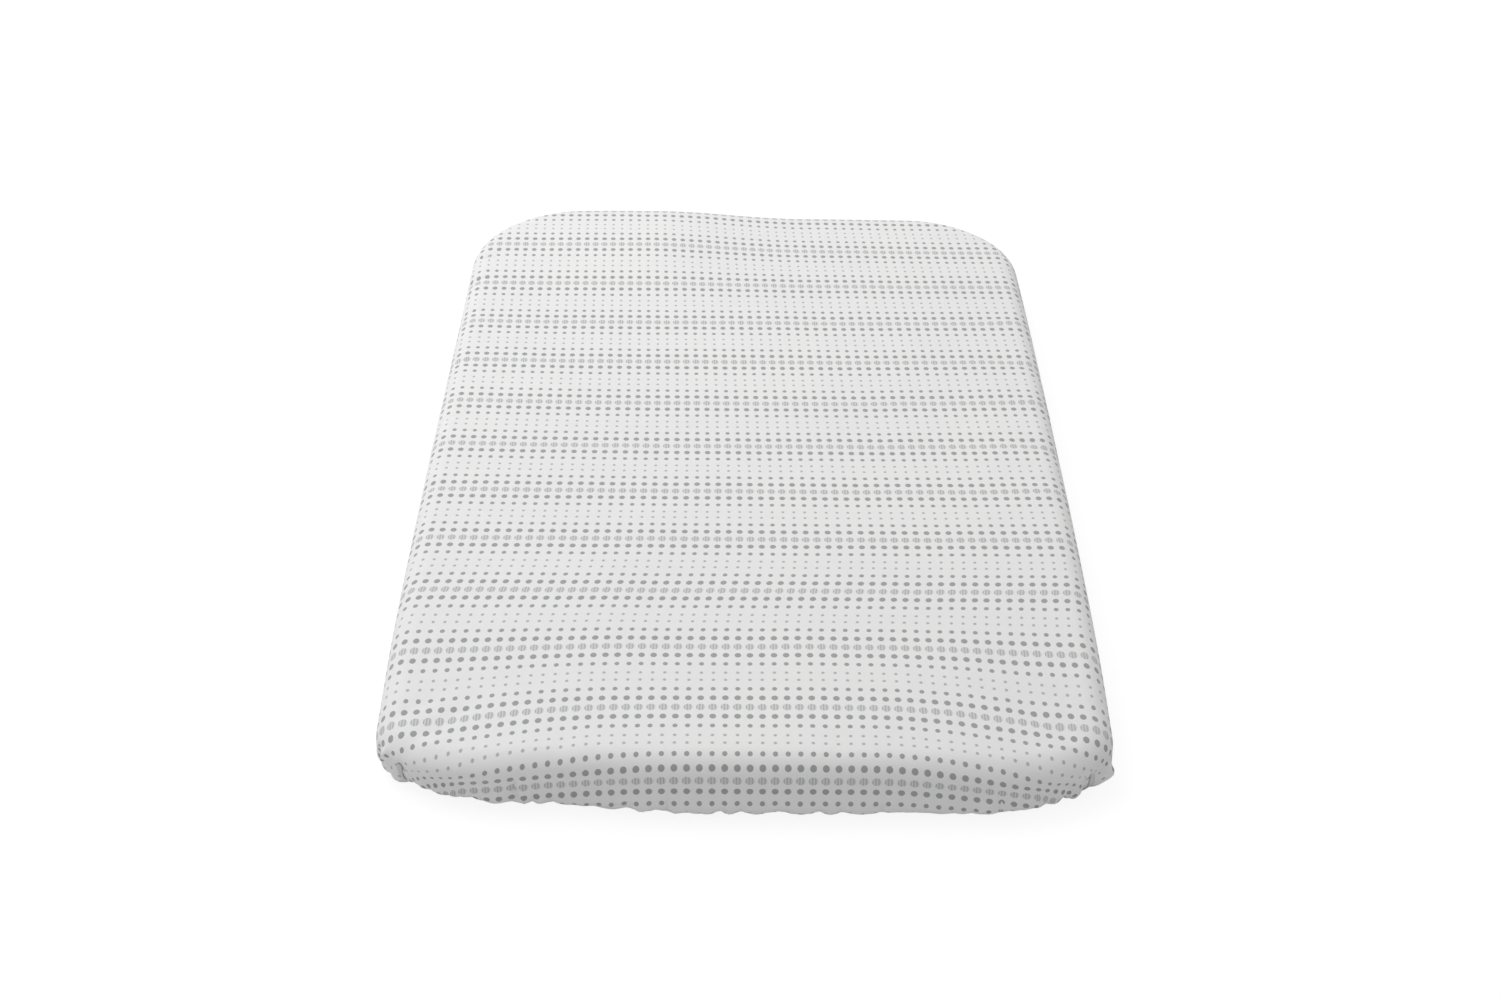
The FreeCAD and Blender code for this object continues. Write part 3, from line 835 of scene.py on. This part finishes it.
seam_finish = cloth_finish(
    "overlocked_seam", (0.86, 0.86, 0.85), (0.66, 0.66, 0.66), 0.0014, relief=0.6
)
seam_rings, _, _ = skin_rings(ROUND_SIDES, SHEET_WALL + 0.0003, 10, 6, 12, UNDER_REACH - 0.004)
seam_rings = settled(seam_rings)
seam_names = {
    (1, 1): "head_right", (-1, 1): "head_left", (-1, -1): "foot_left", (1, -1): "foot_right"
}
for (side, end), radius in CORNER_RADII.items():
    tip = np.array([side, end]) * (
        np.array([HALF_WIDTH, HALF_LENGTH]) - radius * (1 - math.sqrt(0.5))
    )
    middle = int(np.argmin(np.linalg.norm(plan - tip, axis=1)))
    strip = seam_rings[10:, np.arange(middle - 1, middle + 2) % ROUND_SIDES]
    rows, wide_count = strip.shape[:2]
    strip_faces = [
        tuple(r * wide_count + k + n for n in (0, 1, wide_count + 1, wide_count))
        for r in range(rows - 1) for k in range(wide_count - 1)
    ]
    seam = mesh_object(f"corner_seam_{seam_names[side, end]}", strip.reshape(-1, 3), strip_faces)
    thicken(seam, 0.0003)
    seam.data.materials.append(seam_finish)
    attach(seam, "mattress")
    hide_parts(f"sheet_corner_seam_{seam_names[side, end]}")


# ---- Hem and its elastic ----
# The sheet's edge is folded into a narrow casing over a flat elastic, which gathers it into
# close pleats. The mattress rests on it.

HEM_SIDES = 1400
HEM_ROUND = 16
casing_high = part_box("sheet_hem_casing")[1]
casing_outer = HALF_WIDTH - casing_high.x
elastic_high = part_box("sheet_hem_elastic")[1]
casing_width = 2 * (HALF_WIDTH - elastic_high.x - casing_outer) + 0.008
hem_plan, hem_facing, hem_along = outline(HEM_SIDES, HEM_RADII)
close = math.tau * (hem_along / 0.0062 + 0.9 * drift(hem_plan, 0.025, 12.0))
hem_height = casing_high.z - 0.0004
hem_points = []
for turn in np.linspace(0, math.tau, HEM_ROUND, endpoint=False):
    across = math.copysign(abs(math.cos(turn)) ** 0.6, math.cos(turn))
    upward = math.copysign(abs(math.sin(turn)) ** 0.7, math.sin(turn))
    swell = 1 + 0.24 * rib(close + 0.7 * math.sin(turn)) + 0.10 * rib(close * 2.3)
    half = casing_width / 2
    inset = casing_outer + half - (half - 0.0008) * across * (0.90 + 0.08 * swell)
    z = hem_height / 2 + (hem_height / 2) * upward * np.minimum(swell * 0.92, 1.0)
    hem_points.append(np.column_stack([hem_plan - hem_facing * inset[:, None], z]))
hem_points = [settled(ring) for ring in hem_points]
hem_points.append(hem_points[0])
hem = mesh_object(
    "sheet_hem_gathers", np.concatenate(hem_points), ring_faces(HEM_ROUND + 1, HEM_SIDES)
)
weld(hem)
hem_finish = cloth_finish("hem_cotton", (0.885, 0.88, 0.875), (0.79, 0.785, 0.785), 0.0007)
hem.data.materials.append(hem_finish)
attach(hem, "mattress")
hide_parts("sheet_hem_casing")

hem_line_inset = casing_outer + 0.0025
hem_line = np.column_stack([
    hem_plan - hem_facing * hem_line_inset, np.full(HEM_SIDES, 0.0008)
])[::2]
hem_stitches = stitch_row("hem_stitches", settled(hem_line), True, 0.0032, 0.00028)

elastic = Finish("braided_elastic", roughness=0.7)
braid = elastic.node(
    "ShaderNodeTexWave", {"wave_type": "BANDS", "bands_direction": "DIAGONAL"},
    {"Vector": elastic.place(), "Scale": 420.0},
)
elastic.finish(
    colour=elastic.blend(braid, (0.82, 0.82, 0.81, 1), (0.92, 0.92, 0.91, 1)),
    normal=elastic.bump(braid, 0.0002),
)
band_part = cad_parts["sheet_hem_elastic"]
for n in range(len(band_part.material_slots)):
    band_part.material_slots[n].material = elastic.material


# ---- Care labels ----
# Two blank woven labels, sewn in by one short edge: one at the zip and one in the hem.

label_finish = cloth_finish("label_weave", (0.90, 0.90, 0.89), (0.82, 0.82, 0.81), 0.0006, roughness=0.6)
for node, name, sewn_at, sewn_to, curl in (
    ("cover_care_label", "cover_label", 1, "cover_underside_foot", 0.0012),
    ("sheet_care_label", "sheet_label", -1, "sheet_hem_gathers", 0.0016),
):
    low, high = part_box(node)
    across = np.linspace(low.x, high.x, 19)
    length = np.linspace(low.y, high.y, 25)
    gx, gy = np.meshgrid(across, length)
    free = ((high.y - gy) if sewn_at > 0 else (gy - low.y)) / (high.y - low.y)
    ripple = np.sin((gx - low.x) / (high.x - low.x) * math.pi * 1.6 + 0.5)
    gz = high.z - 0.0006 - curl * free**2 - 0.0004 * free * ripple
    label_faces = [
        (r * 19 + k, (r + 1) * 19 + k, (r + 1) * 19 + k + 1, r * 19 + k + 1)
        for r in range(24) for k in range(18)
    ]
    label = mesh_object(name, np.stack([gx, gy, gz], -1).reshape(-1, 3), label_faces)
    thicken(label, 0.0003)
    label.data.materials.append(label_finish)
    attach(label, "mattress")
    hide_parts(node)


# ---- Floor, light and camera ----
# A pale floor that keeps the mattress's shadow, soft light from above and the view of
# somebody standing at the foot end.

floor = mesh_object(
    "floor", [(-6, -6, 0), (6, -6, 0), (6, 9, 0), (-6, 9, 0)], [(0, 1, 2, 3)], False
)
paper = Finish("floor_paper", roughness=0.9)
path = paper.nodes.new("ShaderNodeLightPath")
seen = Wire(paper, path.outputs["Is Camera Ray"]) + Wire(paper, path.outputs["Is Glossy Ray"])
seen = (seen + Wire(paper, path.outputs["Is Transmission Ray"])).maths("MINIMUM", 1.0)
grain = paper.node("ShaderNodeTexNoise", {}, {"Vector": paper.place(), "Scale": 3.0})
tint = paper.blend(grain, (0.80, 0.80, 0.80, 1), (0.82, 0.82, 0.82, 1))
paper.finish(colour=tint)
glow = paper.nodes.new("ShaderNodeEmission")
glow.inputs["Color"].default_value = (1, 1, 1, 1)
glow.inputs["Strength"].default_value = 1.10
both = paper.nodes.new("ShaderNodeMixShader")
paper.put(both.inputs[0], seen * 0.80)
paper.links.new(paper.surface.outputs[0], both.inputs[1])
paper.links.new(glow.outputs[0], both.inputs[2])
paper.links.new(both.outputs[0], paper.nodes["Material Output"].inputs["Surface"])
floor.data.materials.append(paper.material)

world = bpy.data.worlds.new("studio")
bpy.context.scene.world = world
world.use_nodes = True
sky = world.node_tree
background = sky.nodes["Background"]
background.inputs["Color"].default_value = (1, 1, 1, 1)
sky_path = sky.nodes.new("ShaderNodeLightPath")
lit = sky.nodes.new("ShaderNodeMath")
lit.operation = "MAXIMUM"
sky.links.new(sky_path.outputs["Is Camera Ray"], lit.inputs[0])
sky.links.new(sky_path.outputs["Is Glossy Ray"], lit.inputs[1])
level = sky.nodes.new("ShaderNodeMapRange")
level.inputs["To Min"].default_value = 0.50
level.inputs["To Max"].default_value = 1.0
sky.links.new(lit.outputs[0], level.inputs["Value"])
sky.links.new(level.outputs[0], background.inputs["Strength"])


def softbox(name, place, aim, size, watts):
    """Square area light turned to a point."""
    lamp = bpy.data.lights.new(name, "AREA")
    lamp.shape, lamp.size, lamp.energy = "SQUARE", size, watts
    made = bpy.data.objects.new(name, lamp)
    bpy.context.scene.collection.objects.link(made)
    direction = np.array(aim) - np.array(place)
    made.location = place
    made.rotation_mode = "QUATERNION"
    made.rotation_quaternion = Vector(direction).to_track_quat("-Z", "Y")
    return made


softbox("overhead_light", (-0.9, 0.6, 2.1), (0, 0, 0), 2.0, 38)

camera_data = bpy.data.cameras.new("camera")
camera_data.sensor_width = 36
camera_data.lens = 52.8
camera = bpy.data.objects.new("camera", camera_data)
bpy.context.scene.collection.objects.link(camera)
camera.matrix_world = (
    Matrix.Translation((-0.0059, -1.4833, 0.9746))
    @ Matrix.Rotation(math.radians(-0.40), 4, "Z")
    @ Matrix.Rotation(math.radians(90 - 33.57), 4, "X")
    @ Matrix.Rotation(math.radians(0.55), 4, "Z")
)
bpy.context.scene.camera = camera
bpy.context.scene.view_settings.view_transform = "Standard"
